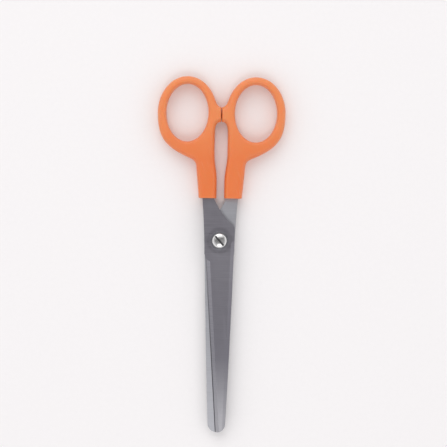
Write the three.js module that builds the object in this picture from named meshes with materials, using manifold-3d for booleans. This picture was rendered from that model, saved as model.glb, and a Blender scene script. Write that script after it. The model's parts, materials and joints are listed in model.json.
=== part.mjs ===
// Small paper scissors with plastic finger loops and blunt tips, closed, lying flat on their back.
// Millimetres. +Y runs from the tips to the finger loops, +Z is up, away from the surface they lie on.
// Everything is drawn around the pivot, then moved so that the origin is the centre of the footprint.
// The halves are one pressing and one moulding each: the rear half is the front half turned over about Y.
import * as THREE from "three";
import { mergeVertices } from "three/addons/utils/BufferGeometryUtils.js";
import Module from "manifold-3d";

const wasm = await Module();
wasm.setup();

// ---- Overall sizes
const overallLength = 127;
const handleLength = 43.5; // from a handle's mouth to the top of its loop
const handleThickness = 5.6;
const mouthFromPivot = 15.1;

// ---- Finger loops
const loopHoleWidth = 15;
const loopHoleHeight = 20.6;
const loopRimSide = 3.1; // plastic beside the finger hole
const loopRimTop = 2.7; // plastic above the finger hole
const outlineRound = 1.15; // the handle's rounding, seen from above
const outlineRoundRise = 1.9; // the same rounding, through the thickness

// ---- Stops, the pads between the loops that meet when the scissors close
const stopLand = 4.7; // plastic from the stop face to the finger hole
const stopClearance = 0.05; // from each stop face to the midline
const stopLength = 5.4;
const stopDrop = 0.5; // the middle of the stop face, below the loop's centre
const stopThickness = 3.6;
const notchAngle = 160; // degrees round the loop, where the notch above the stop ends
const archRise = 4; // from the stop face's foot down to where the arch under it ends

// ---- Handle neck
const mouthGap = 2.7; // between the two necks at their mouths
const neckWidth = 6.35;
const neckSpread = 1.1; // how far the neck's outer edge leans out on its way up
const neckBend = 3; // sets the length of the bend in its inner edge
const neckJoinAngle = 200; // degrees round the loop, where the inner edge meets it
const neckFillet = 2.4;
const shoulderDrop = 16.4; // from the loop's centre down to where its cheek meets the neck
const cheekRun = 9; // how the cheek's curve leaves the neck, sideways
const cheekRise = 3.8; // and upwards
const cheekDrop = 9.4; // how far the loop's side runs down before it turns in

// ---- Blades
const bladeThickness = 1.3;
const bladeGap = 0.1; // between the blades' inner faces
const pivotWidth = 10.6; // of a blade at the pivot
const tipWidth = 6.3; // of both closed blades together, at the tips
const tipOverlap = 1; // how far the cutting edges cross at the tips
const spineBulge = 0.3;
const heelDrop = 5.6; // from the pivot down to where the cutting edge starts
const heelStep = 0.4; // how far the cutting edge starts inside the tang's edge
const tangBow = 0.15; // how far the tang's edge bows out beside the pivot
const shoulderRise = 5.2; // from the pivot up to the corner of the shoulder
const shoulderRound = 1.2;
const shoulderHollow = new THREE.Vector2(0.6, 1.5); // pull on the slope from shoulder to tang
const edgeLand = 0.25; // metal left at the cutting edge
const edgeBevelWidth = 1.5;
const spineBevelWidth = 1.2;
const spineBevelDrop = 0.35;

// ---- Tangs, which the necks are moulded round
const tangWallInner = 0.85; // plastic beside the tang at the mouth, towards the midline
const tangWallOuter = 1.35; // and away from it
const tangLength = 14; // from the mouth to the centre of the tang's round end
const tangEndWidth = 3;
const tangClearance = 0.1;
const lockHoleDiameter = 1.6; // in the tang, where the plastic locks through
const lockHoleFromEnd = 2.5; // below the centre of the tang's round end

// ---- Pivot
const shankDiameter = 3;
const turningClearance = 0.1; // on the radius, in the blades and the washer
const headDiameter = 5.2;
const headRim = 0.45;
const headCrown = 0.75;
const slotWidth = 0.6;
const slotDepth = 0.65;
const slotAngle = -48;
const washerDiameter = 6.6;
const washerThickness = 0.35;
const washerGap = 0.05; // under the washer, so that the front blade can turn
const nutAcrossFlats = 5.5;
const nutThickness = 1.4;
const nutChamfer = 0.25;
const threadClearance = 0.05;
const screwEndRecess = 0.1; // from the nut's outer face to the end of the screw
const screwEndChamfer = 0.3;

// ---- Worked out from the sizes above
const at = (x, y) => new THREE.Vector2(x, y);
const loopTop = mouthFromPivot + handleLength;
const bladeReach = overallLength - loopTop;
const middle = handleThickness / 2; // height of the plane where the blades meet
const hole = at(loopHoleWidth / 2, loopHoleHeight / 2);
const ring = at(hole.x + loopRimSide, hole.y + loopRimTop);
const loop = at(stopClearance + stopLand + hole.x, loopTop - ring.y);
const neckInner = mouthGap / 2;
const neckOuter = neckInner + neckWidth;
const tangInner = neckInner + tangWallInner;
const tangOuter = neckOuter - tangWallOuter;
const tangEnd = at(-(neckInner + neckOuter + neckSpread) / 2, mouthFromPivot + tangLength);
const lockHole = at(tangEnd.x, tangEnd.y - lockHoleFromEnd);
const edgeStart = at(heelStep - pivotWidth / 2, -heelDrop);
const edgeEnd = at(-tipOverlap / 2, -bladeReach);
const frontBladeFace = middle + bladeGap / 2 + bladeThickness;
const rearBladeFace = middle - bladeGap / 2 - bladeThickness;
const washerBottom = frontBladeFace + washerGap;
const headBottom = washerBottom + washerThickness;
const nutBottom = rearBladeFace - nutThickness;

const plastic = new THREE.MeshStandardMaterial({ color: 0xf07a35, roughness: 0.38, metalness: 0 });
const bladeSteel = new THREE.MeshStandardMaterial({ color: 0x8b8b92, roughness: 0.34, metalness: 1 });
const plated = new THREE.MeshStandardMaterial({ color: 0xc9c8c6, roughness: 0.2, metalness: 1 });

// ---- Solids

// A three.js geometry as a manifold-3d solid.
function solid(geometry) {
  const bare = geometry.index ? geometry.toNonIndexed() : geometry.clone();
  bare.deleteAttribute("normal");
  bare.deleteAttribute("uv");
  const merged = mergeVertices(bare);
  const vertProperties = merged.attributes.position.array;
  const triVerts = new Uint32Array(merged.index.array);
  return new wasm.Manifold(new wasm.Mesh({ numProp: 3, vertProperties, triVerts }));
}

// A manifold-3d solid as a named three.js mesh.
function part(name, body, material) {
  const { vertProperties, triVerts } = body.getMesh();
  const geometry = new THREE.BufferGeometry();
  geometry.setAttribute("position", new THREE.BufferAttribute(vertProperties, 3));
  geometry.setIndex(new THREE.BufferAttribute(triVerts, 1));
  geometry.computeVertexNormals();
  const mesh = new THREE.Mesh(geometry, material);
  mesh.name = name;
  return mesh;
}

// Points along an arc of an ellipse, from one angle to another in degrees.
function arc(centre, radii, from, to, steps) {
  const [start, end] = [from, to].map(THREE.MathUtils.degToRad);
  return new THREE.EllipseCurve(centre.x, centre.y, radii.x, radii.y, start, end, to < from).getPoints(steps);
}

const round = (centre, radius, steps = 40) => arc(centre, at(radius, radius), 0, 360, steps).slice(1);
const bend = (start, pull, end, steps) => new THREE.QuadraticBezierCurve(start, pull, end).getPoints(steps);
const loopAt = (degrees) => arc(loop, ring, degrees, degrees + 90, 1)[0];

// A flat shape whose outline is the given stretches end to end, without doubled points.
function outline(...stretches) {
  const points = stretches.flat();
  return new THREE.Shape(points.filter((point, i) => point.distanceTo(points.at(i - 1)) > 1e-3));
}

// A plate of the given shape, from z = bottom upwards.
function plate(shape, bottom, thickness) {
  const geometry = new THREE.ExtrudeGeometry(shape, { depth: thickness, bevelEnabled: false });
  return solid(geometry.translate(0, 0, bottom));
}

// A bar from start to end. Its profile's x runs to the left of that direction, and its y is up.
function bar(start, end, profile) {
  const depth = start.distanceTo(end);
  const geometry = new THREE.ExtrudeGeometry(new THREE.Shape(profile), { depth, bevelEnabled: false });
  const along = new THREE.Vector3(end.x - start.x, end.y - start.y, 0).normalize();
  const up = new THREE.Vector3(0, 0, 1);
  const left = new THREE.Vector3().crossVectors(up, along);
  geometry.applyMatrix4(new THREE.Matrix4().makeBasis(left, up, along).setPosition(start.x, start.y, 0));
  return solid(geometry);
}

// A turned piece: the profile's x is the radius and its y the height.
const turned = (profile) => solid(new THREE.LatheGeometry(profile, 40).rotateX(Math.PI / 2));

// ---- The blade, with its tang at -X, its inner face at z = 0 and its outer face up

// The tang's outline from mouth to mouth, larger all round by the given amount.
function tangOutline(grow) {
  const radius = tangEndWidth / 2 + grow;
  return [
    at(grow - tangInner, mouthFromPivot),
    ...arc(tangEnd, at(radius, radius), 0, 180, 8),
    at(-grow - tangOuter, mouthFromPivot),
  ];
}

function bladeOutline() {
  const side = pivotWidth / 2;
  const tipRadius = tipWidth / 2;
  const tip = at(0, tipRadius - bladeReach);
  const tangFoot = at(-tangOuter, mouthFromPivot);
  const slopeTop = at(-tangInner, mouthFromPivot);
  const slopeFoot = at(side - 0.75 * shoulderRound, shoulderRise + 0.65 * shoulderRound);
  const slopeMiddle = slopeTop.clone().add(slopeFoot).multiplyScalar(0.5);
  const shape = outline(
    tangOutline(0),
    bend(tangFoot, at(-side - tangBow, mouthFromPivot / 3), at(-side, 2 * heelStep - heelDrop), 6),
    [edgeStart, edgeEnd],
    arc(tip, at(tipRadius, tipRadius), -90, 0, 8),
    bend(at(tipRadius, tip.y), at((tipRadius + side) / 2 + spineBulge, tip.y / 2), at(side, 0), 8),
    bend(at(side, shoulderRise - shoulderRound), at(side, shoulderRise), slopeFoot, 3),
    bend(slopeFoot, slopeMiddle.sub(shoulderHollow), slopeTop, 8),
  );
  shape.holes.push(new THREE.Path(round(at(0, 0), shankDiameter / 2 + turningClearance)));
  shape.holes.push(new THREE.Path(round(lockHole, lockHoleDiameter / 2, 16)));
  return shape;
}

// The wedge that bevels the outer face along a line, leaving the given land at the line itself.
function bevelCut(start, end, land, width) {
  const clear = 1; // how far the wedge runs past the metal
  const rise = (bladeThickness - land) / width;
  return bar(start, end, [
    at(-clear, land - rise * clear),
    at(width + clear / rise, bladeThickness + clear),
    at(-clear, bladeThickness + clear),
  ]);
}

function blade() {
  const edgeBevel = bevelCut(edgeStart, at(edgeEnd.x, edgeEnd.y - 1), edgeLand, edgeBevelWidth);
  const spineFoot = at(tipWidth / 2, tipWidth / 2 - bladeReach);
  const spineTop = at(pivotWidth / 2, 0);
  const spineBevel = bevelCut(spineFoot, spineTop, bladeThickness - spineBevelDrop, spineBevelWidth);
  return plate(bladeOutline(), 0, bladeThickness).subtract(edgeBevel).subtract(spineBevel);
}

// ---- The handle

// The rounded body: neck and loop, at +X, with its back at z = 0.
function handleBody() {
  const cut = mouthFromPivot - outlineRound; // the mouth is trimmed flat later
  const shoulder = at(neckOuter + neckSpread + 0.8 * neckFillet, loop.y - shoulderDrop);
  const neckTop = at(neckOuter + neckSpread, shoulder.y - neckFillet);
  const side = loopAt(0);
  const join = loopAt(neckJoinAngle);
  const innerEdge = new THREE.CubicBezierCurve(
    at(neckInner, neckTop.y - 2 * neckBend),
    at(neckInner, neckTop.y - neckBend / 2),
    at(join.x, neckTop.y),
    at(join.x, neckTop.y + 1.5 * neckBend),
  );
  const cheek = new THREE.CubicBezierCurve(
    side,
    at(side.x, side.y - cheekDrop),
    at(shoulder.x + cheekRun, shoulder.y + cheekRise),
    shoulder,
  );
  const shape = outline(
    [at(neckInner, cut)],
    innerEdge.getPoints(8),
    arc(loop, ring, neckJoinAngle, 0, 25),
    cheek.getPoints(10),
    bend(shoulder, at(neckTop.x + 0.1 * neckFillet, shoulder.y - 0.3 * neckFillet), neckTop, 3),
    [at(neckOuter, cut)],
  );
  shape.holes.push(new THREE.Path(arc(loop, hole, 0, 360, 36).slice(1)));
  const geometry = new THREE.ExtrudeGeometry(shape, {
    depth: handleThickness - 2 * outlineRoundRise,
    bevelThickness: outlineRoundRise,
    bevelSize: outlineRound,
    bevelOffset: -outlineRound,
    bevelSegments: 4,
  });
  return solid(geometry.translate(0, 0, outlineRoundRise));
}

// The stop on the handle at +X, with the notch above it and the arch under it.
function stop() {
  const foot = loop.y - stopDrop - stopLength / 2;
  const top = foot + stopLength;
  const notchEnd = loopAt(notchAngle);
  const archEnd = at(loopAt(neckJoinAngle).x, foot - archRise);
  const inside = loopAt(180).x + loopRimSide / 2; // within the loop's rim
  const shape = outline(
    [at(stopClearance, foot)],
    bend(at(stopClearance, top), at(0.6 * notchEnd.x, top), notchEnd, 5),
    [at(inside, notchEnd.y), at(inside, archEnd.y)],
    bend(archEnd, at(archEnd.x, foot), at(stopClearance, foot), 5),
  );
  return plate(shape, middle - stopThickness / 2, stopThickness);
}

// The whole handle, turned over to -X, with z = 0 in the plane where the blades meet.
function handle() {
  const clear = outlineRound + 1;
  const mouthEnd = bar(at(0, mouthFromPivot), at(-neckOuter - clear, mouthFromPivot), [
    at(0, -handleThickness),
    at(2 * clear, -handleThickness),
    at(2 * clear, handleThickness),
    at(0, handleThickness),
  ]);
  const inMouth = mouthFromPivot - clear;
  const tang = outline(tangOutline(tangClearance), [
    at(-tangClearance - tangOuter, inMouth),
    at(tangClearance - tangInner, inMouth),
  ]);
  tang.holes.push(new THREE.Path(round(lockHole, lockHoleDiameter / 2 - tangClearance, 16)));
  const pocket = plate(tang, bladeGap / 2 - tangClearance, bladeThickness + 2 * tangClearance);
  const whole = handleBody().add(stop()).translate([0, 0, -middle]).rotate([0, 180, 0]);
  return whole.subtract(mouthEnd).subtract(pocket);
}

// ---- The pivot

function screw() {
  const radius = headDiameter / 2;
  const shank = shankDiameter / 2;
  const end = nutBottom + screwEndRecess;
  const body = turned([
    at(0, end),
    at(shank - screwEndChamfer, end),
    at(shank, end + screwEndChamfer),
    at(shank, headBottom),
    at(radius, headBottom),
    ...arc(at(0, headBottom + headRim), at(radius, headCrown), 0, 90, 8),
  ]);
  const floor = headBottom + headRim + headCrown - slotDepth;
  const slotEnd = at(radius + 1, 0).rotateAround(at(0, 0), THREE.MathUtils.degToRad(slotAngle));
  const slot = bar(slotEnd.clone().negate(), slotEnd, [
    at(-slotWidth / 2, floor),
    at(slotWidth / 2, floor),
    at(slotWidth / 2, floor + 2 * slotDepth),
    at(-slotWidth / 2, floor + 2 * slotDepth),
  ]);
  return body.subtract(slot);
}

function washer() {
  const bore = shankDiameter / 2 + turningClearance;
  const rim = washerDiameter / 2;
  return turned([
    at(bore, washerBottom),
    at(rim, washerBottom),
    at(rim, headBottom),
    at(bore, headBottom),
    at(bore, washerBottom),
  ]);
}

function nut() {
  const hexagon = new THREE.Shape(round(at(0, 0), nutAcrossFlats / Math.sqrt(3), 6));
  hexagon.holes.push(new THREE.Path(round(at(0, 0), shankDiameter / 2 + threadClearance)));
  const flat = nutAcrossFlats / 2;
  const chamfered = turned([
    at(0, nutBottom),
    at(flat, nutBottom),
    at(flat + 2 * nutChamfer, nutBottom + nutChamfer),
    at(flat + 2 * nutChamfer, rearBladeFace),
    at(0, rearBladeFace),
  ]);
  return plate(hexagon, nutBottom, nutThickness).intersect(chamfered);
}

// ---- Assembly

// One half, in its own frame: z = 0 is the plane where the blades meet, and the blade lies above it.
function half(side) {
  const group = new THREE.Group();
  group.add(part(side + "_blade", blade().translate([0, 0, bladeGap / 2]), bladeSteel));
  group.add(part(side + "_handle", handle(), plastic));
  group.position.z = middle;
  return group;
}

const front = half("front");
const rear = half("rear");
rear.rotation.y = Math.PI;

const scissors = new THREE.Group();
scissors.add(front, rear);
scissors.add(part("pivot_screw", screw(), plated));
scissors.add(part("pivot_washer", washer(), plated));
scissors.add(part("pivot_nut", nut(), plated));
scissors.position.set(0, (bladeReach - loopTop) / 2, -Math.min(0, nutBottom));

const model = new THREE.Group();
model.add(scissors);
export default model;
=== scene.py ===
"""Small paper scissors with plastic finger loops and blunt tips, closed, lying flat on a pale table.

The pieces are drawn in millimetres around the pivot, with the plane where the blades meet at z = 0,
and moved to their place in the frame last. Each drawing is of one half: the other half is the same
blade and the same moulding, turned over about Y.
"""

import json
import math
from contextlib import contextmanager

import bmesh
import bpy
import numpy as np
from mathutils import Matrix, Vector
from mathutils.geometry import delaunay_2d_cdt


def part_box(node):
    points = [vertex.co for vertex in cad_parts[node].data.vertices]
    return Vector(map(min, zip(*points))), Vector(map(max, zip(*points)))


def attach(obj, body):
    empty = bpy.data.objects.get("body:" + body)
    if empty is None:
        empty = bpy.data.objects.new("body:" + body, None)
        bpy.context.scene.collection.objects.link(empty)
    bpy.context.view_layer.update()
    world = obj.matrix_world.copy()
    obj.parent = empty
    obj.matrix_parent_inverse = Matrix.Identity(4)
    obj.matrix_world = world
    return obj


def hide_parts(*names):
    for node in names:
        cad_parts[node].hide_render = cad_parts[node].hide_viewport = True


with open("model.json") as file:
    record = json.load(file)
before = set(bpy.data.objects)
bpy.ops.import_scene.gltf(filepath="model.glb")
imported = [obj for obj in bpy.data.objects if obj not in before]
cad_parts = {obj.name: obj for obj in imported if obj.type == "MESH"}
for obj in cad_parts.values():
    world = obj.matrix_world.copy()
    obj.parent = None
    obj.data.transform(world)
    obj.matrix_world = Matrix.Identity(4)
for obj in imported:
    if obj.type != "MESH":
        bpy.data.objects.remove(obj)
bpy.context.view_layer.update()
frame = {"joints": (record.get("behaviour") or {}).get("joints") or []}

MM = 0.001
PIVOT = Vector(frame["joints"][0]["pos_m"])
TURNED_OVER = Matrix.Rotation(math.pi, 4, "Y")


def node_box(node):
    """A CAD node's lowest and highest corners, in millimetres from the pivot."""
    low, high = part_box(node)
    return (low - PIVOT) / MM, (high - PIVOT) / MM


# ---- Sizes of the handles that the nodes' boxes don't give, in millimetres

HOLE = np.array([7.5, 10.3])  # half the finger hole's width and height
RIM = np.array([3.1, 2.7])  # plastic beside and above the finger hole
NECK_GAP = 2.7
NECK_WIDTH = 6.35
NECK_SPREAD = 1.1
NECK_FILLET = 2.4
NECK_BEND = 3.0
NECK_JOIN_ANGLE = 200  # degrees round the loop to the point above the neck's inner edge
SHOULDER_DROP = 16.4
CHEEK_DROP = 9.4  # the cheek's curve leaves the loop straight down, pulled this far
CHEEK_PULL = np.array([9.0, 3.8])  # and comes to the shoulder from this far out and up
FILLET_PULL = np.array([0.24, 0.72])  # pulls the fillet, out from the neck and down from the shoulder
STOP_DROP = 0.5
STOP_LENGTH = 5.4
STOP_CORNER = 0.35
ARCH_RISE = 4.0
NOTCH_ANGLE = 160  # degrees round the loop to where the notch above the stop ends
OUTER_ROUND = 1.6  # how far in from its outline the moulding reaches its thickness
HOLE_ROUND = 0.95  # and how far in from the finger hole
STOP_ROUND = 0.45  # and from the face that stops against the other handle
FULLNESS = 2.3  # 2 is an ellipse, more is squarer
CROWN = 0.14  # how much each face of the moulding bulges
CROWN_WIDTH = 3.6  # and how far in from the edges the bulge is full
MOUTH_ROUND = 0.35

# ---- Sizes of the blades

PIVOT_WIDTH = 10.6
TIP_WIDTH = 6.3
TIP_OVERLAP = 1.0
SPINE_BULGE = 0.3
HEEL = np.array([0.4, 5.6])  # the cutting edge starts this far in, and this far below the pivot
TANG_BOW = 0.15
SHOULDER_RISE = 5.2
SHOULDER_ROUND = 1.2
SHOULDER_HOLLOW = np.array([0.6, 1.5])
EDGE_LAND = 0.25
EDGE_BEVEL = 1.5
SPINE_BEVEL = 1.2
SPINE_BEVEL_DROP = 0.35
BEVEL_RUN_OUT = 0.7  # how much shorter a bevel gets per millimetre of its width
BEVEL_START = 0.9  # from the heel, along the cutting edge
HONE_LAND = 0.06
HONE_BEVEL = 1.0  # the steeper facet honed on the edge would reach the outer face this far in
HONE_START = 1.2
BLADE_BURR = 0.05  # how much of each sharp edge is broken away

TANG_WALLS = (0.85, 1.35)
TANG_END_RADIUS = 1.5
TANG_SLACK = 0.03
LOCK_RADIUS = 0.8
LOCK_DROP = 2.5

# ---- Sizes of the pivot

SHANK = 1.5
SHANK_SLACK = 0.1
HEAD_RIM = 0.45
HEAD_ROUND = 0.12  # the edge under the head
SCREW_POINT = 0.2  # the chamfer at the end of the thread
SCREW_BURR = 0.045
SLOT_WIDTH = 0.6
SLOT_DEPTH = 0.65
SLOT_REACH = 2.25  # from the pivot to where the slot ends, short of the head's rim
SLOT_ANGLE = math.radians(-48)
THREAD_PITCH = 0.5
THREAD_DEPTH = 0.16
WASHER_ROUND = 0.08
NUT_CHAMFER = 0.25
NUT_SLACK = 0.05
NUT_SINK = 0.25
NUT_BURR = 0.04

# ---- How finely the pieces are drawn

EDGE_STEP = 0.24  # between the points of the handle's outline
HOLE_STEPS = 240
RIM_ROWS = np.radians(np.linspace(0, 80, 9))  # rows of faces over a rounded edge, as angles on it
MOUTH_ROWS = np.radians([0, 25, 45, 65, 90])  # and over the rounded mouth
MOUTH_STEPS = 11
GRID_STEP = 0.5  # between the points inside the handle's outline
GRID_ROW = 0.87  # how close their rows are to each other, as a share of the step
GRID_CLEAR = 0.4  # and how far they stay off the rims, as a share of the step
CUTTER_ENDS = (-1, 3)  # heights that lie clear of any piece that is cut
SLIVER = 0.005  # points of a broken edge nearer than this to each other are one
SAME_POINT = 1e-4  # and points of a line or a profile
SEAM = 0.0005  # and points of the moulding's two faces, where they meet
TOUCHING = 0.01  # a point nearer than this to a line lies on it

# ---- The studio: the cosine of the angle from the dark spot overhead, and how bright it is there

DARK_LEAN = math.radians(5)
SKY = ((0.01, 0.5), (0.25, 0.9), (0.55, 1.24), (0.8, 0.66), (0.94, 0.24))
BLUE_CAST = 1.02  # the light's blue against its red and green


# ---- Lines in the plane

def arc(centre, radii, start, end, steps=90):
    """Points along an ellipse from one angle to another, in degrees."""
    angle = np.radians(np.linspace(start, end, steps + 1))
    return np.array(centre) + np.array(radii) * np.c_[np.cos(angle), np.sin(angle)]


def bend(*points, steps=40):
    """A Bezier curve from the first point to the last, pulled towards those between."""
    share = np.linspace(0, 1, steps + 1)[:, None]
    curve = [np.array(point, float) for point in points]
    while len(curve) > 1:
        curve = [a + (b - a) * share for a, b in zip(curve, curve[1:])]
    return curve[0]


def join(*stretches):
    """The stretches end to end as one line, without doubled points."""
    line = np.vstack([np.atleast_2d(stretch) for stretch in stretches])
    kept = np.r_[True, np.linalg.norm(np.diff(line, axis=0), axis=1) > SAME_POINT]
    return line[kept]


def respaced(line, step, near_ends=()):
    """The line again with its points an even step apart, and others at set distances from its ends."""
    run = np.r_[0, np.cumsum(np.linalg.norm(np.diff(line, axis=0), axis=1))]
    ends = np.array(near_ends)
    first = ends[-1] + step if len(ends) else 0
    middle = np.linspace(first, run[-1] - first, round((run[-1] - 2 * first) / step) + 1)
    at = np.r_[ends, middle, run[-1] - ends[::-1]]
    return np.c_[np.interp(at, run, line[:, 0]), np.interp(at, run, line[:, 1])]


def distance_to(line, points):
    """How far each point is from the line."""
    start = line[:-1]
    span = line[1:] - start
    share = ((points[:, None] - start) * span).sum(2) / (span**2).sum(1)
    nearest = start + span * np.clip(share, 0, 1)[..., None]
    return np.linalg.norm(points[:, None] - nearest, axis=2).min(1)


def inside(loop, points):
    """Which points lie inside the closed loop."""
    a, b = loop, np.roll(loop, -1, axis=0)
    x, y = points[:, :1], points[:, 1:]
    crosses = (a[:, 1] > y) != (b[:, 1] > y)
    rise = np.where(b[:, 1] == a[:, 1], 1, b[:, 1] - a[:, 1])
    crossing = a[:, 0] + (y - a[:, 1]) * (b[:, 0] - a[:, 0]) / rise
    return (crosses & (x < crossing)).sum(1) % 2 == 1


# ---- Meshes

def mesh_of(name, points, faces):
    """A mesh of the points and faces, checked for faults."""
    mesh = bpy.data.meshes.new(name)
    mesh.from_pydata([tuple(map(float, point)) for point in points], [], faces)
    mesh.validate()
    return mesh


@contextmanager
def reworked(mesh):
    """Opens the mesh as a bmesh form, and writes the form back when the work on it is done."""
    form = bmesh.new()
    form.from_mesh(mesh)
    yield form
    form.to_mesh(mesh)
    form.free()


def prism(outline, low, high):
    """The outline, which runs counter-clockwise, raised from one height to another."""
    count = len(outline)
    points = [(x, y, z) for z in (low, high) for x, y in outline]
    bottom, top = tuple(reversed(range(count))), tuple(range(count, 2 * count))
    sides = [(i, (i + 1) % count, (i + 1) % count + count, i + count) for i in range(count)]
    return mesh_of("prism", points, [bottom, top, *sides])


def turned(profile, steps=96):
    """The profile of (radius, height) points, spun round Z. It runs upwards along the outside."""
    points, rows = [], []
    for radius, height in profile:
        count = steps if radius > 0 else 1
        rows.append([len(points) + i % count for i in range(steps)])
        for i in range(count):
            angle = 2 * math.pi * i / steps
            points.append((radius * math.cos(angle), radius * math.sin(angle), height))
    faces = []
    for lower, upper in zip(rows, rows[1:]):
        for i in range(steps):
            j = (i + 1) % steps
            corners = dict.fromkeys((lower[i], lower[j], upper[j], upper[i]))
            if len(corners) > 2:
                faces.append(tuple(corners))
    return mesh_of("turned", points, faces)


def cutting_pin(radius, steps):
    """A pin round Z, long enough to drill through a blade."""
    low, high = CUTTER_ENDS
    return turned([(0, low), (radius, low), (radius, high), (0, high)], steps)


def evaluated(mesh, *modifiers):
    """The mesh after modifiers, each given as its kind and settings."""
    body = bpy.data.objects.new("bench", mesh)
    bpy.context.scene.collection.objects.link(body)
    tools = []
    for kind, settings in modifiers:
        modifier = body.modifiers.new(kind, kind)
        for name, value in settings.items():
            if isinstance(value, bpy.types.Mesh):
                value = bpy.data.objects.new("tool", value)
                bpy.context.scene.collection.objects.link(value)
                tools.append(value)
            if kind == "NODES" and name != "node_group":
                modifier[name] = value
            else:
                setattr(modifier, name, value)
    result = bpy.data.meshes.new_from_object(body.evaluated_get(bpy.context.evaluated_depsgraph_get()))
    for scrap in (body, *tools):
        bpy.data.objects.remove(scrap)
    return result


def cut(mesh, *tools, keep="DIFFERENCE"):
    """The mesh with each tool taken out of it, or with only what it shares with the tool."""
    steps = [("BOOLEAN", {"operation": keep, "solver": "EXACT", "object": tool}) for tool in tools]
    return evaluated(mesh, *steps)


def broken(mesh, width, angle):
    """The mesh with edges sharper than the angle broken by a small flat, and no slivers left."""
    settings = {"width": width, "segments": 1, "limit_method": "ANGLE", "angle_limit": math.radians(angle)}
    result = evaluated(mesh, ("BEVEL", settings))
    with reworked(result) as form:
        bmesh.ops.remove_doubles(form, verts=form.verts, dist=SLIVER)
        bmesh.ops.dissolve_degenerate(form, edges=form.edges, dist=SLIVER)
    return result


def smoothed(mesh, angle):
    """Shades the mesh smooth, except over edges sharper than the angle."""
    mesh.shade_smooth()
    mesh.set_sharp_from_angle(angle=math.radians(angle))
    return mesh


def fit(name, mesh, body, material, slot, *nodes):
    """Puts a finished mesh in the frame as a piece that rides on a body and stands for CAD nodes."""
    mesh.transform(Matrix.Translation(PIVOT) @ Matrix.Scale(MM, 4))
    mesh.materials.clear()
    mesh.materials.append(material)
    mesh.name = name
    piece = bpy.data.objects.new(name, mesh)
    bpy.context.scene.collection.objects.link(piece)
    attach(piece, body)
    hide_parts(*nodes)


# ---- Node trees

def add_node(tree, kind, inputs=(), **settings):
    """A new node with its settings, each input given as a value or as the socket that feeds it."""
    made = tree.nodes.new(kind)
    for name, value in settings.items():
        setattr(made, name, value)
    for socket, value in dict(inputs).items():
        if isinstance(value, bpy.types.NodeSocket):
            tree.links.new(value, made.inputs[socket])
        else:
            made.inputs[socket].default_value = value
    return made


def shape_tree(name, sizes, takes_sheet=False):
    """A Geometry Nodes tree with inputs for each size and a material, and for a sheet if it takes one."""
    tree = bpy.data.node_groups.new(name, "GeometryNodeTree")
    face = tree.interface
    if takes_sheet:
        face.new_socket("Sheet", in_out="INPUT", socket_type="NodeSocketGeometry")
    for size in sizes:
        face.new_socket(size, in_out="INPUT", socket_type="NodeSocketFloat")
    face.new_socket("Material", in_out="INPUT", socket_type="NodeSocketMaterial")
    face.new_socket("Shape", in_out="OUTPUT", socket_type="NodeSocketGeometry")
    return tree


def end_tree(tree, shape, material):
    """Makes the tree's instances real, gives them the material and sends them out."""
    realized = add_node(tree, "GeometryNodeRealizeInstances", {"Geometry": shape})
    painting = {"Geometry": realized.outputs[0], "Material": material}
    painted = add_node(tree, "GeometryNodeSetMaterial", painting)
    add_node(tree, "NodeGroupOutput", {0: painted.outputs[0]})


def shaped(mesh, tree, values):
    """The mesh after a Geometry Nodes tree, whose inputs are set by their sockets' identifiers."""
    inputs = [item for item in tree.interface.items_tree if item.in_out == "INPUT"]
    settings = {item.identifier: values[item.name] for item in inputs if item.name in values}
    return evaluated(mesh, ("NODES", {"node_group": tree, **settings}))


# ---- Materials

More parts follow.
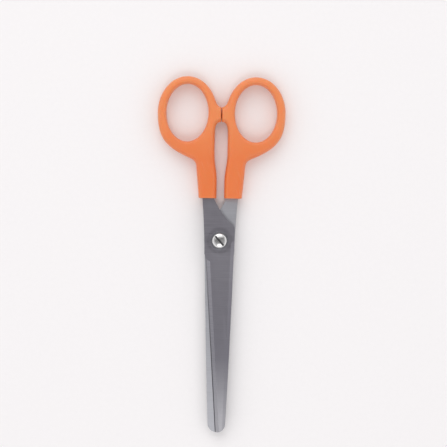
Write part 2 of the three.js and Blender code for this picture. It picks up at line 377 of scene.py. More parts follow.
class Finish:
    """A material whose pattern reads the piece's own Object coordinates, in metres."""

    def __init__(self, name, **shader_values):
        self.material = bpy.data.materials.new(name)
        self.material.use_nodes = True
        self.tree = self.material.node_tree
        self.shader = self.tree.nodes["Principled BSDF"]
        for socket, value in shader_values.items():
            self.shader.inputs[socket.replace("_", " ")].default_value = value
        self.place = self.node("ShaderNodeTexCoord").outputs["Object"]

    def node(self, kind, inputs=(), **settings):
        return add_node(self.tree, kind, inputs, **settings)

    def split(self, vector):
        """The outputs X, Y and Z of a vector."""
        return self.node("ShaderNodeSeparateXYZ", {0: vector}).outputs

    def about_pivot(self, scale=(1.0, 1.0, 1.0), turn=0.0):
        """Object coordinates about the pivot, turned about Z and scaled along each axis."""
        turned_place = self.node(
            "ShaderNodeMapping",
            {"Vector": self.place, "Rotation": (0, 0, turn), "Location": PIVOT},
            vector_type="TEXTURE",
        )
        scaling = {0: turned_place.outputs[0], 1: scale}
        return self.node("ShaderNodeVectorMath", scaling, operation="MULTIPLY").outputs[0]

    def from_axis(self):
        """How far the place is from the pivot's axis."""
        flat = {0: self.about_pivot((1.0, 1.0, 0.0))}
        return self.node("ShaderNodeVectorMath", flat, operation="LENGTH").outputs["Value"]

    def noise(self, scale, detail, roughness, turn=0.0):
        """Noise from 0 to 1, with the given number of features per metre along each axis."""
        scale = scale if isinstance(scale, tuple) else (scale,) * 3
        place = self.about_pivot(scale, turn)
        inputs = {"Vector": place, "Scale": 1.0, "Detail": detail, "Roughness": roughness}
        return self.node("ShaderNodeTexNoise", inputs).outputs["Fac"]

    def math(self, operation, first, second=0.0):
        return self.node("ShaderNodeMath", {0: first, 1: second}, operation=operation).outputs[0]

    def times(self, first, second):
        return self.math("MULTIPLY", first, second)

    def apart(self, first, second):
        """How far two values are from each other."""
        return self.math("ABSOLUTE", self.math("SUBTRACT", first, second))

    def ramp(self, value, from_low, from_high, to_low=0.0, to_high=1.0):
        inputs = {
            "Value": value,
            "From Min": from_low,
            "From Max": from_high,
            "To Min": to_low,
            "To Max": to_high,
        }
        return self.node("ShaderNodeMapRange", inputs).outputs[0]

    def mix(self, share, first, second):
        """A colour between two, each a socket or red, green and blue."""
        colours = [(*colour, 1) if isinstance(colour, tuple) else colour for colour in (first, second)]
        inputs = {0: share, 6: colours[0], 7: colours[1]}
        return self.node("ShaderNodeMix", inputs, data_type="RGBA").outputs[2]

    def set(self, socket, value):
        self.tree.links.new(value, self.shader.inputs[socket])

    def relief(self, *heights):
        """Bumps the surface by each (height from 0 to 1, depth in metres)."""
        normal = None
        for height, depth in heights:
            inputs = {"Height": height, "Distance": depth, "Strength": 1.0}
            if normal:
                inputs["Normal"] = normal
            normal = self.node("ShaderNodeBump", inputs).outputs[0]
        self.set("Normal", normal)


def orange_moulded_plastic():
    """Glossy orange plastic with a fine spark-eroded grain, flow marks and a parting line.

    It is painted a little paler round the slim loops than on the broad necks, a painted light for the haze
    of light over the loops."""
    finish = Finish(
        "orange_moulded_plastic",
        Subsurface_Weight=0.3,
        Subsurface_Radius=(1.0, 0.3, 0.1),
        Subsurface_Scale=0.0018,
        Specular_IOR_Level=0.5,
    )
    place = finish.split(finish.place)
    neck_top, loop_foot = 34 * MM, 46 * MM
    flow = finish.noise((70.0, 38.0, 70.0), 3.0, 0.55)
    neck_colour = finish.mix(flow, (0.76, 0.182, 0.046), (0.81, 0.212, 0.062))
    # Painted light: the loops' paler colour stands in for the haze of light over the slim loops, not for a
    # colour of the plastic.
    painted_light_loop_colour = finish.mix(flow, (0.78, 0.235, 0.075), (0.83, 0.268, 0.092))
    clean = finish.mix(finish.ramp(place["Y"], neck_top, loop_foot), neck_colour, painted_light_loop_colour)
    scratches = finish.noise((2600.0, 240.0, 600.0), 3.0, 0.6, math.radians(20))
    scuffs = finish.ramp(scratches, 0.6, 0.72)
    finish.set("Base Color", finish.mix(finish.times(scuffs, 0.1), clean, (0.9, 0.5, 0.3)))

    handling = finish.ramp(finish.noise(260.0, 4.0, 0.6), 0.3, 0.7, 0.33, 0.45)
    finish.set("Roughness", finish.math("ADD", handling, finish.times(scuffs, 0.12)))

    parting = finish.ramp(finish.apart(place["Z"], PIVOT.z), 0.03 * MM, 0.1 * MM, 1.0, 0.0)
    grain = finish.noise(3800.0, 3.0, 0.6)
    waves = finish.noise(420.0, 2.0, 0.5)
    finish.relief((waves, 0.03 * MM), (grain, 0.011 * MM), (parting, 0.04 * MM))
    return finish.material


def ground_stainless_steel():
    """Stainless strip, its outer faces ground dark across their width, its inner faces rougher and painted
    lighter, a painted light for the side light their rough grind catches.

    The outer faces are painted darkest half way down the blade and lightest at its tip, painted shade and
    painted light for the reflections along it. The facet honed on the cutting edge is painted darker than
    the bevel above it, most of all near the tip, a painted shadow of the gap between the blades."""
    finish = Finish("ground_stainless_steel", Metallic=1.0)
    place = finish.split(finish.about_pivot())
    lean = finish.node("ShaderNodeNewGeometry").outputs["Normal"]
    upright = finish.math("ABSOLUTE", finish.split(lean)["Z"])
    strokes = finish.noise((45.0, 3400.0, 45.0), 4.0, 0.65)
    scuffs = finish.noise((900.0, 55.0, 900.0), 3.0, 0.6, math.radians(7))

    cloud = finish.ramp(finish.noise(60.0, 3.0, 0.5), 0.3, 0.7)
    outer = finish.mix(cloud, (0.33, 0.312, 0.352), (0.365, 0.35, 0.39))
    # Painted shade half way down the blade and painted light at its tip: the steel's colour carries the
    # reflections along the blade.
    painted_shade_half_way_down = finish.ramp(place["Y"], -8 * MM, -36 * MM)
    outer = finish.mix(painted_shade_half_way_down, outer, (0.262, 0.252, 0.286))
    painted_light_at_tip = finish.ramp(place["Y"], -42 * MM, -64 * MM)
    outer = finish.mix(painted_light_at_tip, outer, (0.52, 0.51, 0.54))
    # The inner faces are rougher, and their lighter colour is painted light for the light from the sides
    # that a rougher grind catches.
    inner_face = finish.ramp(finish.math("ABSOLUTE", place["Z"]), 0.07 * MM, 0.11 * MM, 1.0, 0.0)
    colour = finish.mix(inner_face, outer, (0.53, 0.53, 0.565))
    colour = finish.mix(finish.ramp(strokes, 0.3, 0.7, 0.22, 0.0), colour, (0.16, 0.16, 0.17))

    bevelled = finish.ramp(upright, 0.86, 0.9, 1.0, 0.0)
    whetting = finish.ramp(finish.noise((120.0, 8000.0, 120.0), 3.0, 0.6), 0.35, 0.65)
    whetted = finish.mix(whetting, (0.17, 0.17, 0.18), (0.31, 0.31, 0.325))
    colour = finish.mix(finish.times(bevelled, 0.4), colour, whetted)
    # Painted shadow: the honed facet is painted near black, more so towards the tip, for the shadow of the
    # gap between the blades.
    honed = finish.ramp(upright, 0.68, 0.74, 1.0, 0.0)
    painted_shade_share = finish.ramp(place["Y"], -20 * MM, -45 * MM, 0.3, 0.75)
    finish.set("Base Color", finish.mix(finish.times(honed, painted_shade_share), colour, (0.1, 0.1, 0.11)))

    worn_ring = 4.1 * MM
    worn = finish.ramp(finish.apart(finish.from_axis(), worn_ring), 0.2 * MM, 0.9 * MM, 1.0, 0.0)
    rough = finish.ramp(strokes, 0.3, 0.7, 0.30, 0.42)
    rough = finish.math("ADD", rough, finish.ramp(scuffs, 0.55, 0.8, 0.0, 0.07))
    rough = finish.math("SUBTRACT", rough, finish.times(worn, 0.05))
    finish.set("Roughness", finish.math("ADD", rough, finish.times(inner_face, 0.06)))
    finish.relief((strokes, 0.0015 * MM), (scuffs, 0.001 * MM))
    return finish.material


def bright_nickel_plate():
    """Nickel plate over turned steel, with a dull slot in the screw's head painted dark, a painted shade in
    the recess.
    """
    finish = Finish("bright_nickel_plate", Metallic=1.0)
    tool_feed = 0.12 * MM
    rings = finish.math("SINE", finish.times(finish.from_axis(), 2 * math.pi / tool_feed))
    blotch = finish.noise(900.0, 3.0, 0.6)
    plate = finish.mix(finish.ramp(blotch, 0.35, 0.7), (0.64, 0.63, 0.62), (0.76, 0.75, 0.74))

    across = finish.split(finish.about_pivot(turn=SLOT_ANGLE))
    wall = SLOT_WIDTH / 2 * MM
    end = SLOT_REACH * MM
    floor = (node_box("pivot_screw")[1].z - SLOT_DEPTH) * MM
    beside = finish.ramp(finish.math("ABSOLUTE", across["Y"]), wall + 0.01 * MM, wall + 0.03 * MM, 1.0, 0.0)
    between = finish.ramp(finish.math("ABSOLUTE", across["X"]), end + 0.01 * MM, end + 0.03 * MM, 1.0, 0.0)
    above = finish.ramp(across["Z"], floor - 0.15 * MM, floor - 0.14 * MM)
    slot = finish.times(finish.times(beside, between), above)
    # Painted shade: the slot is painted near black, mottled, for the shade in the recess.
    painted_shade_share = finish.ramp(finish.noise(2600.0, 3.0, 0.6), 0.35, 0.65)
    painted_slot_shade = finish.mix(painted_shade_share, (0.07, 0.07, 0.075), (0.19, 0.19, 0.195))
    finish.set("Base Color", finish.mix(slot, plate, painted_slot_shade))

    polish = finish.ramp(blotch, 0.3, 0.7, 0.16, 0.27)
    finish.set("Roughness", finish.math("ADD", polish, finish.times(slot, 0.35)))
    finish.relief((rings, 0.0006 * MM), (finish.noise(3000.0, 3.0, 0.6), 0.002 * MM))
    return finish.material


def darkened_spring_steel():
    """Dark tempered steel, rubbed bright in places."""
    finish = Finish("darkened_spring_steel", Metallic=1.0)
    rubbed = finish.noise(1100.0, 4.0, 0.6)
    colour = finish.mix(finish.ramp(rubbed, 0.4, 0.75), (0.20, 0.20, 0.22), (0.34, 0.34, 0.36))
    finish.set("Base Color", colour)
    finish.set("Roughness", finish.ramp(rubbed, 0.3, 0.7, 0.42, 0.3))
    finish.relief((rubbed, 0.003 * MM))
    return finish.material


def pale_table():
    """Matt, faintly warm white board."""
    finish = Finish("pale_table", Roughness=0.9, Specular_IOR_Level=0.2)
    fibres = finish.noise(700.0, 4.0, 0.6)
    finish.set("Base Color", finish.mix(fibres, (0.88, 0.855, 0.85), (0.91, 0.885, 0.88)))
    finish.relief((fibres, 0.01 * MM))
    return finish.material


# ---- The handle, at +X

def handle_edge(low, high):
    """The handle's outline from the inner corner of its mouth, round the loop, to the outer corner."""
    ring = HOLE + RIM
    loop = np.array([high.x, high.y]) - ring
    inner = NECK_GAP / 2
    outer = inner + NECK_WIDTH
    shoulder = np.array([outer + NECK_SPREAD + 0.8 * NECK_FILLET, loop[1] - SHOULDER_DROP])
    neck_top = np.array([outer + NECK_SPREAD, shoulder[1] - NECK_FILLET])
    left = arc(loop, ring, NECK_JOIN_ANGLE, NECK_JOIN_ANGLE, 1)[0][0]
    notch = arc(loop, ring, NOTCH_ANGLE, NOTCH_ANGLE, 1)[0]
    foot = loop[1] - STOP_DROP - STOP_LENGTH / 2
    top = foot + STOP_LENGTH
    corner = low.x + STOP_CORNER
    return join(
        (inner, low.y),
        bend(
            (inner, neck_top[1] - 2 * NECK_BEND),
            (inner, neck_top[1] - NECK_BEND / 2),
            (left, neck_top[1]),
            (left, neck_top[1] + 1.5 * NECK_BEND),
        ),
        bend((left, foot - ARCH_RISE), (left, foot), (corner, foot)),
        bend((corner, foot), (low.x, foot), (low.x, foot + STOP_CORNER)),
        bend((low.x, top - STOP_CORNER), (low.x, top), (corner, top)),
        bend((corner, top), (0.6 * notch[0], top), notch),
        arc(loop, ring, NOTCH_ANGLE, 0),
        bend((high.x, loop[1]), (high.x, loop[1] - CHEEK_DROP), shoulder + CHEEK_PULL, shoulder),
        bend(shoulder, (neck_top[0] + FILLET_PULL[0], shoulder[1] - FILLET_PULL[1]), neck_top),
        (outer, low.y),
    )


def rings_beside(line, closed, depths, mouth):
    """Copies of the line at each depth to its right.

    Those points that would cross at a corner meet there instead."""
    along = np.roll(line, -1, axis=0) - np.roll(line, 1, axis=0) if closed else np.gradient(line, axis=0)
    along /= np.linalg.norm(along, axis=1)[:, None]
    right = np.c_[along[:, 1], -along[:, 0]]
    at_mouth = line[:, 1] < mouth + 3 * MOUTH_ROUND
    right[at_mouth] = np.c_[np.sign(right[at_mouth, 0]), np.zeros(at_mouth.sum())]
    whole = np.vstack([line, line[:1]]) if closed else line
    order = np.arange(len(line))
    rings = []
    for depth in depths:
        ring = line + right * depth
        kept = distance_to(whole, ring) > depth - TOUCHING
        rings.append(np.c_[[np.interp(order, order[kept], ring[kept, axis]) for axis in (0, 1)]].T)
    return rings


def triangular_grid(low, high):
    """Points of a triangular grid from the point low to the point high."""
    return np.array([
        (x + GRID_STEP / 2 * (row % 2), y)
        for row, y in enumerate(np.arange(low[1], high[1], GRID_STEP * GRID_ROW))
        for x in np.arange(low[0], high[0], GRID_STEP)
    ])


def handle_sheet(low, high):
    """The handle as a flat sheet, with rows of faces that follow its outline and the finger hole.

    Its edges along the outline and the finger hole are marked, and those of the mouth aren't."""
    mouth = low.y
    mouth_rows = MOUTH_ROUND * (1 - np.cos(MOUTH_ROWS))
    edge = respaced(handle_edge(low, high), EDGE_STEP, mouth_rows)
    hole = arc(np.array([high.x, high.y]) - HOLE - RIM, HOLE, 0, 360, HOLE_STEPS)[:-1]
    shares = 1 - np.cos(RIM_ROWS) ** (2 / FULLNESS)
    points, faces, marks = [], [], {"outline": set(), "finger_hole": set(), "stop_face": set()}

    def add(block):
        first = len(points)
        points.extend(block)
        return list(range(first, len(points)))

    inner_loops = []
    for mark, line, width in (("outline", edge, OUTER_ROUND), ("finger_hole", hole, HOLE_ROUND)):
        closed = mark == "finger_hole"
        rows = [add(ring) for ring in rings_beside(line, closed, width * shares, mouth)]
        count = len(line)
        for i in range(count if closed else count - 1):
            j = (i + 1) % count
            on_stop = max(line[i][0], line[j][0]) < low.x + TOUCHING
            marks["stop_face" if on_stop else mark].add(frozenset((rows[0][i], rows[0][j])))
            faces += [(a[i], b[i], b[j], a[j]) for a, b in zip(rows, rows[1:])]
        inner_loops.append(rows[-1])

    border, hole_border = inner_loops
    start, end = points[border[0]][0], points[border[-1]][0]
    across = np.linspace(start, end, MOUTH_STEPS + 1)[1:-1]
    border = border + add([np.array([x, mouth]) for x in across[::-1]])
    behind_mouth = [np.array([x, mouth + row]) for row in mouth_rows[1:] for x in across]
    outer_loop = np.array([points[i] for i in border])
    hole_loop = np.array([points[i] for i in hole_border])
    grid = triangular_grid((0, mouth + 2 * MOUTH_ROUND), (high.x, high.y))
    grid = grid[inside(outer_loop, grid) & ~inside(hole_loop, grid)]
    for line, width in ((edge, OUTER_ROUND), (np.vstack([hole, hole[:1]]), HOLE_ROUND)):
        grid = grid[distance_to(line, grid) > width * shares[-1] + GRID_CLEAR * GRID_STEP]
    used = border + hole_border + add(behind_mouth + list(grid))

    edges = []
    for first, count in ((0, len(border)), (len(border), len(hole_border))):
        edges += [(first + i, first + (i + 1) % count) for i in range(count)]
    flat = [Vector(points[i]) for i in used]
    _, _, triangles, sources, _, _ = delaunay_2d_cdt(flat, edges, [], 1, 1e-5)
    for triangle in triangles:
        corners = [used[sources[i][0]] for i in triangle]
        middle = np.mean([points[i] for i in corners], axis=0)
        if not inside(hole_loop, middle[None])[0]:
            faces.append(tuple(corners))

    sheet = mesh_of("sheet", [(x, y, 0) for x, y in points], faces)
    for mark, marked in marks.items():
        attribute = sheet.attributes.new(mark, "BOOLEAN", "EDGE")
        attribute.data.foreach_set("value", [frozenset(e.vertices) in marked for e in sheet.edges])
    return sheet


def moulding_tree():
    """Nodes that make a moulding from a flat sheet: its thickness follows the distance to its edges."""
    rounds = {"outline": "Outline Round", "finger_hole": "Hole Round", "stop_face": "Stop Round"}
    sizes = ("Half Thickness", *rounds.values(), "Fullness", "Crown", "Crown Width", "Mouth", "Mouth Round")
    tree = shape_tree("moulding_from_sheet", sizes, takes_sheet=True)

    def node(kind, inputs=(), **settings):
        return add_node(tree, kind, inputs, **settings)

    def maths(operation, first, second=0.0, clamp=False):
        return node("ShaderNodeMath", {0: first, 1: second}, operation=operation, use_clamp=clamp).outputs[0]

    given = node("NodeGroupInput").outputs

    def distance(mark):
        """How far each point is from the edges marked so."""
        marked = node("GeometryNodeInputNamedAttribute", {"Name": mark}, data_type="BOOLEAN")
        choice = {"Geometry": given["Sheet"], "Selection": marked.outputs["Attribute"]}
        edges = node("GeometryNodeSeparateGeometry", choice, domain="EDGE")
        near = node("GeometryNodeProximity", {0: edges.outputs["Selection"]}, target_element="EDGES")
        return near.outputs["Distance"]

    def rise(away, width, fullness):
        """From 0 at an edge to 1 at the given distance from it, along a superellipse."""
        left = maths("SUBTRACT", 1.0, maths("DIVIDE", away, width, clamp=True))
        share = maths("SUBTRACT", 1.0, maths("POWER", left, fullness), clamp=True)
        return maths("POWER", share, maths("DIVIDE", 1.0, fullness))

    def moved(geometry, offset):
        return node("GeometryNodeSetPosition", {"Geometry": geometry, "Offset": offset}).outputs[0]

    rounding = nearest = 1000.0
    for mark, width in rounds.items():
        away = distance(mark)
        rounding = maths("MINIMUM", rise(away, given[width], given["Fullness"]), rounding)
        nearest = maths("MINIMUM", away, nearest)
    body = maths("MULTIPLY", rounding, maths("SUBTRACT", given["Half Thickness"], given["Crown"]))
    crown = maths("MULTIPLY", rise(nearest, given["Crown Width"], 2.0), given["Crown"])
    height = maths("ADD", body, crown)
    up = node("ShaderNodeCombineXYZ", {"Z": height})
    down = node("ShaderNodeCombineXYZ", {"Z": maths("MULTIPLY", height, -1.0)})
    upper = moved(given["Sheet"], up.outputs[0])
    lower = node("GeometryNodeFlipFaces", {"Mesh": moved(given["Sheet"], down.outputs[0])}).outputs[0]
    both = node("GeometryNodeJoinGeometry")
    for sheet in (upper, lower):
        tree.links.new(sheet, both.inputs[0])
    closed = node("GeometryNodeMergeByDistance", {"Geometry": both.outputs[0], "Distance": SEAM})

    place = node("ShaderNodeSeparateXYZ", {0: node("GeometryNodeInputPosition").outputs[0]})
    from_mouth = maths("SUBTRACT", place.outputs["Y"], given["Mouth"])
    lip = maths("SUBTRACT", 1.0, maths("DIVIDE", from_mouth, given["Mouth Round"]), clamp=True)
    fall = maths("SUBTRACT", 1.0, maths("SQRT", maths("SUBTRACT", 1.0, maths("MULTIPLY", lip, lip))))
    normal = node("GeometryNodeInputNormal").outputs[0]
    depth = maths("MULTIPLY", maths("MULTIPLY", fall, given["Mouth Round"]), -1.0)
    inwards = node("ShaderNodeVectorMath", {0: normal, "Scale": depth}, operation="SCALE").outputs[0]
    level = node("ShaderNodeVectorMath", {0: inwards, 1: (1.0, 0.0, 1.0)}, operation="MULTIPLY").outputs[0]
    end_tree(tree, moved(closed.outputs[0], level), given["Material"])
    return tree


def moulded_handle(low, high, plastic):
    """One handle at +X, solid, and closed at its mouth."""
    values = {
        "Half Thickness": (high.z - low.z) / 2,
        "Outline Round": OUTER_ROUND,
        "Hole Round": HOLE_ROUND,
        "Stop Round": STOP_ROUND,
        "Fullness": FULLNESS,
        "Crown": CROWN,
        "Crown Width": CROWN_WIDTH,
        "Mouth": low.y,
        "Mouth Round": MOUTH_ROUND,
        "Material": plastic,
    }
    mesh = shaped(handle_sheet(low, high), moulding_tree(), values)
    with reworked(mesh) as form:
        open_edges = [edge for edge in form.edges if edge.is_boundary]
        bmesh.ops.holes_fill(form, edges=open_edges, sides=0)
        bmesh.ops.recalc_face_normals(form, faces=form.faces)
    return mesh


# ---- The blade, with its tang at -X and its inner face down

def handle_mouth():
    """How far above the pivot, along Y, the mouths of the handles are."""
    return node_box("front_handle")[0].y


def tang_end():
    """The centre of the tang's round end."""
    return -(NECK_GAP + NECK_WIDTH + NECK_SPREAD) / 2, node_box("front_blade")[1].y - TANG_END_RADIUS


def lock_place():
    """Moves a pin to where the tang is locked in its handle."""
    across, along = tang_end()
    return Matrix.Translation((across, along - LOCK_DROP, 0))


def tang_edge(grow=0.0):
    """The tang's outline from the inner side of the mouth, over its round end, to the outer side."""
    mouth = handle_mouth()
    inner = NECK_GAP / 2 + TANG_WALLS[0] - grow
    outer = NECK_GAP / 2 + NECK_WIDTH - TANG_WALLS[1] + grow
    radius = TANG_END_RADIUS + grow
    return join((-inner, mouth), arc(tang_end(), (radius, radius), 0, 180, 32), (-outer, mouth))


def cutting_edge(low):
    """The two ends of the cutting edge: its heel and its tip."""
    return np.array([HEEL[0] - PIVOT_WIDTH / 2, -HEEL[1]]), np.array([-TIP_OVERLAP / 2, low.y])


def blade_edge(low):
    """The blade's outline, counter-clockwise from the inner side of its tang."""
    side = PIVOT_WIDTH / 2
    radius = TIP_WIDTH / 2
    tip = low.y + radius
    tang = tang_edge()
    slope_top, tang_foot = tang[0], tang[-1]
    slope_foot = np.array([side - 0.75 * SHOULDER_ROUND, SHOULDER_RISE + 0.65 * SHOULDER_ROUND])
    heel, edge_tip = cutting_edge(low)
    return join(
        tang,
        bend(tang_foot, (-side - TANG_BOW, handle_mouth() / 3), (-side, heel[1] + 2 * HEEL[0])),
        heel,
        edge_tip,
        arc((0, tip), (radius, radius), -90, 0, 28)[1:],
        bend((radius, tip), ((radius + side) / 2 + SPINE_BULGE, tip / 2), (side, 0)),
        bend((side, SHOULDER_RISE - SHOULDER_ROUND), (side, SHOULDER_RISE), slope_foot, steps=10),
        bend(slope_foot, (slope_top + slope_foot) / 2 - SHOULDER_HOLLOW, slope_top)[:-1],
    )


def bevel_tool(start, end, land, width, thickness):
    """The wedge that bevels the outer face to the left of the line from start to end.

    The bevel is shorter on its inner side, as the ground face of a pressed blade is."""
    start, end = np.array(start, float), np.array(end, float)
    along = (end - start) / np.linalg.norm(end - start)
    left = np.array([-along[1], along[0]])
    rise = (thickness - land) / width
    profile = [(-1, land - rise), (width + 1 / rise, thickness + 1), (-1, thickness + 1)]
    points = [
        (*(place + left * x + along * lag * x), z)
        for place, lag in ((start, BEVEL_RUN_OUT), (end, -BEVEL_RUN_OUT))
        for x, z in profile
    ]
    faces = [(0, 1, 2), (5, 4, 3), (0, 3, 4, 1), (1, 4, 5, 2), (2, 5, 3, 0)]
    wedge = mesh_of("wedge", points, faces)
    with reworked(wedge) as form:
        bmesh.ops.recalc_face_normals(form, faces=form.faces)
    return wedge


def pressed_blade():
    """A blade with its bevels, its bore for the screw and the hole that locks its tang."""
    low, high = node_box("front_blade")
    thickness = high.z - low.z
    side = PIVOT_WIDTH / 2
    radius = TIP_WIDTH / 2
    heel, edge_tip = cutting_edge(low)
    along = (edge_tip - heel) / np.linalg.norm(edge_tip - heel)
    past_tip = edge_tip + 2 * along
    edge_bevel = bevel_tool(heel + along * BEVEL_START, past_tip, EDGE_LAND, EDGE_BEVEL, thickness)
    honed_edge = bevel_tool(heel + along * HONE_START, past_tip, HONE_LAND, HONE_BEVEL, thickness)
    spine_land = thickness - SPINE_BEVEL_DROP
    spine_bevel = bevel_tool((radius, low.y - radius), (side, 0), spine_land, SPINE_BEVEL, thickness)
    bore = cutting_pin(SHANK + SHANK_SLACK, 72)
    lock = cutting_pin(LOCK_RADIUS, 64)
    lock.transform(lock_place())
    blade = cut(prism(blade_edge(low), 0, thickness), edge_bevel, honed_edge, spine_bevel, bore, lock)
    blade.transform(Matrix.Translation((0, 0, low.z)))
    return smoothed(broken(blade, BLADE_BURR, angle=12), angle=8)


def tang_pocket():
    """The room that the tang takes in the handle, with the peg that locks it left standing."""
    low, high = node_box("front_blade")
    edge = tang_edge(TANG_SLACK)
    mouth = edge[0][1]
    outline = join(edge, (edge[-1][0], mouth - 1), (edge[0][0], mouth - 1))
    room = prism(outline, low.z - TANG_SLACK, high.z + TANG_SLACK)
    peg = cutting_pin(LOCK_RADIUS - TANG_SLACK, 32)
    peg.transform(lock_place())
    return cut(room, peg)


# ---- The pivot

def round_edge(corner, radius, start, steps=5):
    """A quarter circle inside a corner, from the given angle on."""
    return arc(corner, (radius, radius), start, start + 90, steps)


def pivot_screw():
    """The screw with its domed head, its slot, and a shank that narrows to the root of its thread."""
    low, high = node_box("pivot_screw")
    seat = node_box("pivot_washer")[1].z
    nut_top = node_box("pivot_nut")[1].z
    head = high.x
    root = SHANK - THREAD_DEPTH
    crown = arc((0, seat + HEAD_RIM), (head, high.z - seat - HEAD_RIM), 0, 90, 24)
    profile = [
        (0, low.z),
        (root - SCREW_POINT, low.z),
        (root, low.z + SCREW_POINT),
        (root, nut_top),
        (SHANK, nut_top + THREAD_DEPTH),
        (SHANK, seat),
        (head - HEAD_ROUND, seat),
        *round_edge((head - HEAD_ROUND, seat + HEAD_ROUND), HEAD_ROUND, -90)[1:],
        *crown[:-1],
        (0, high.z),
    ]
    half = SLOT_WIDTH / 2
    corners = [(-SLOT_REACH, -half), (SLOT_REACH, -half), (SLOT_REACH, half), (-SLOT_REACH, half)]
    slot = prism(corners, high.z - SLOT_DEPTH, high.z + 1)
    slot.transform(Matrix.Rotation(SLOT_ANGLE, 4, "Z"))
    return smoothed(broken(cut(turned(profile), slot), SCREW_BURR, angle=35), angle=25)


def thread_tree():
    """Nodes that sweep a triangular ridge along a helix."""
    tree = shape_tree("screw_thread", ("Radius", "Ridge", "Turns", "Length"))
    given = add_node(tree, "NodeGroupInput").outputs
    helix = add_node(tree, "GeometryNodeCurveSpiral", {
        "Resolution": 64,
        "Rotations": given["Turns"],
        "Start Radius": given["Radius"],
        "End Radius": given["Radius"],
        "Height": given["Length"],
    })
    ridge = add_node(tree, "GeometryNodeCurvePrimitiveCircle", {"Resolution": 3, "Radius": given["Ridge"]})
    sweep = add_node(tree, "GeometryNodeCurveToMesh", {
        "Curve": helix.outputs[0],
        "Profile Curve": ridge.outputs["Curve"],
        "Fill Caps": True,
    })
    end_tree(tree, sweep.outputs[0], given["Material"])
    return tree


def screw_thread(metal):
    """The ridge of the thread, from half a pitch above the screw's end to as far below the nut's top."""
    bottom = node_box("pivot_screw")[0].z
    length = node_box("pivot_nut")[1].z - bottom - THREAD_PITCH
    values = {
        "Radius": SHANK - 0.7 * THREAD_DEPTH,
        "Ridge": 0.6 * THREAD_DEPTH,
        "Turns": length / THREAD_PITCH,
        "Length": length,
        "Material": metal,
    }
    thread = shaped(bpy.data.meshes.new("thread"), thread_tree(), values)
    thread.transform(Matrix.Translation((0, 0, bottom + THREAD_PITCH / 2)))
    return smoothed(thread, angle=50)


def pivot_washer():
    """A flat ring with rounded outer edges and a chamfered bore."""
    low, high = node_box("pivot_washer")
    bore = SHANK + SHANK_SLACK
    middle = (low.z + high.z) / 2
    rim = high.x - WASHER_ROUND
    profile = [
        (bore, middle),
        (bore, low.z + WASHER_ROUND),
        (bore + WASHER_ROUND, low.z),
        (rim, low.z),
        *round_edge((rim, low.z + WASHER_ROUND), WASHER_ROUND, -90)[1:],
        *round_edge((rim, high.z - WASHER_ROUND), WASHER_ROUND, 0),
        (bore + WASHER_ROUND, high.z),
        (bore, high.z - WASHER_ROUND),
        (bore, middle),
    ]
    ring = turned(profile, 120)
    with reworked(ring) as form:
        bmesh.ops.remove_doubles(form, verts=form.verts, dist=SAME_POINT)
        bmesh.ops.recalc_face_normals(form, faces=form.faces)
    return smoothed(ring, angle=35)


def pivot_nut():
    """A hexagon nut whose corners are turned off on both faces and whose bore is countersunk below."""
    low, high = node_box("pivot_nut")
    flat = high.y
    cone = flat + 2 * NUT_CHAMFER
    hexagon = prism(arc((0, 0), (high.x, high.x), 0, 360, 6)[:-1], low.z, high.z)
    blank = turned([
        (0, low.z),
        (flat, low.z),
        (cone, low.z + NUT_CHAMFER),
        (cone, high.z - NUT_CHAMFER),
        (flat, high.z),
        (0, high.z),
    ])
    bore = SHANK + NUT_SLACK
    reamer = turned([
        (0, low.z - 1),
        (bore + NUT_SINK + 1, low.z - 1),
        (bore, low.z + NUT_SINK),
        (bore, high.z + 1),
        (0, high.z + 1),
    ])
    nut = cut(cut(hexagon, blank, keep="INTERSECT"), reamer)
    return smoothed(broken(nut, NUT_BURR, angle=35), angle=20)


# ---- The pieces

plastic = orange_moulded_plastic()
steel = ground_stainless_steel()
nickel = bright_nickel_plate()
spring_steel = darkened_spring_steel()

pocket = tang_pocket()
pocket.transform(TURNED_OVER)
handle = smoothed(cut(moulded_handle(*node_box("rear_handle"), plastic), pocket), angle=35)
blade = pressed_blade()
for half, in_front in (("rear", False), ("front", True)):
    moulding = handle.copy()
    pressing = blade.copy()
    (moulding if in_front else pressing).transform(TURNED_OVER)
    body = half + "_half"
    fit(half + "_handle_moulding", moulding, body, plastic, half + "_handle", half + "_handle")
    fit(half + "_blade_pressing", pressing, body, steel, half + "_blade", half + "_blade")

fit("slotted_pivot_screw", pivot_screw(), "rear_half", nickel, "pivot_screw", "pivot_screw")
fit("pivot_screw_thread", screw_thread(nickel), "rear_half", nickel, "pivot_screw", "pivot_screw")
fit("flat_pivot_washer", pivot_washer(), "rear_half", spring_steel, "pivot_washer", "pivot_washer")
fit("hexagon_pivot_nut", pivot_nut(), "rear_half", nickel, "pivot_nut", "pivot_nut")


# ---- Table, light and camera

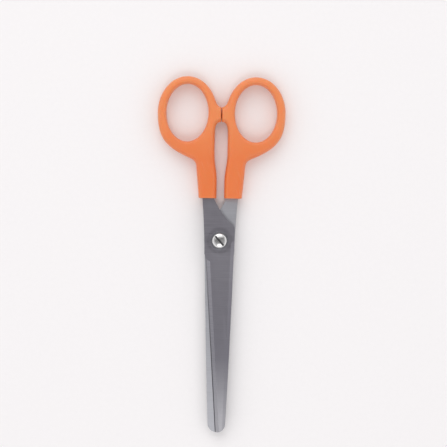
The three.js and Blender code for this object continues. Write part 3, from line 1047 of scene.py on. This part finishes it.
def table():
    """Just below the handles' flat backs, so that the two surfaces don't share a plane."""
    half, low = 1.2, -0.00001
    corners = [(-half, -half, low), (half, -half, low), (half, half, low), (-half, half, low)]
    mesh = mesh_of("table", corners, [(0, 1, 2, 3)])
    mesh.materials.append(pale_table())
    top = bpy.data.objects.new("table", mesh)
    bpy.context.scene.collection.objects.link(top)


def softbox(name, place, size, power):
    """A square area light that faces the scissors."""
    light = bpy.data.lights.new(name, "AREA")
    light.shape = "SQUARE"
    light.size = size
    light.energy = power
    holder = bpy.data.objects.new(name, light)
    holder.location = place
    holder.rotation_euler = (-Vector(place)).to_track_quat("-Z", "Y").to_euler()
    bpy.context.scene.collection.objects.link(holder)


def camera():
    """Looks straight down at the scissors, turned a little against them."""
    lens, sensor = 100.0, 36.0
    view_width = 159.8 * MM
    turn = Matrix.Rotation(math.radians(1.0), 3, "Z")
    aim = PIVOT + turn @ Vector((1.43, 6.15, 0)) * MM
    data = bpy.data.cameras.new("camera")
    data.lens = lens
    data.sensor_width = sensor
    holder = bpy.data.objects.new("camera", data)
    holder.location = aim + Vector((0, 0, view_width * lens / sensor))
    holder.rotation_euler = turn.to_euler()
    bpy.context.scene.collection.objects.link(holder)
    bpy.context.scene.camera = holder


def studio():
    """Light from all round that is dark straight overhead, so that flat metal stays dark from above."""
    world = bpy.data.worlds.new("studio")
    world.use_nodes = True
    tree = world.node_tree
    direction = add_node(tree, "ShaderNodeTexCoord").outputs["Generated"]
    dark_spot = (0.0, math.sin(DARK_LEAN), math.cos(DARK_LEAN))
    overhead = add_node(tree, "ShaderNodeVectorMath", {0: direction, 1: dark_spot}, operation="DOT_PRODUCT")
    ramp = add_node(tree, "ShaderNodeValToRGB", {0: overhead.outputs["Value"]})
    ramp.color_ramp.interpolation = "EASE"
    stops = ramp.color_ramp.elements
    stops.remove(stops[1])
    for place, level in SKY:
        stop = stops.new(place)
        stop.color = (level, level, level * BLUE_CAST, 1)
    stops.remove(stops[0])
    tree.links.new(ramp.outputs[0], tree.nodes["Background"].inputs["Color"])
    bpy.context.scene.world = world


table()
studio()
softbox("head_softbox", (-0.12, 0.62, 0.72), 0.8, 2.6)
softbox("foot_softbox", (0.0, -0.45, 0.85), 0.28, 1.2)
camera()
bpy.context.scene.view_settings.view_transform = "Standard"
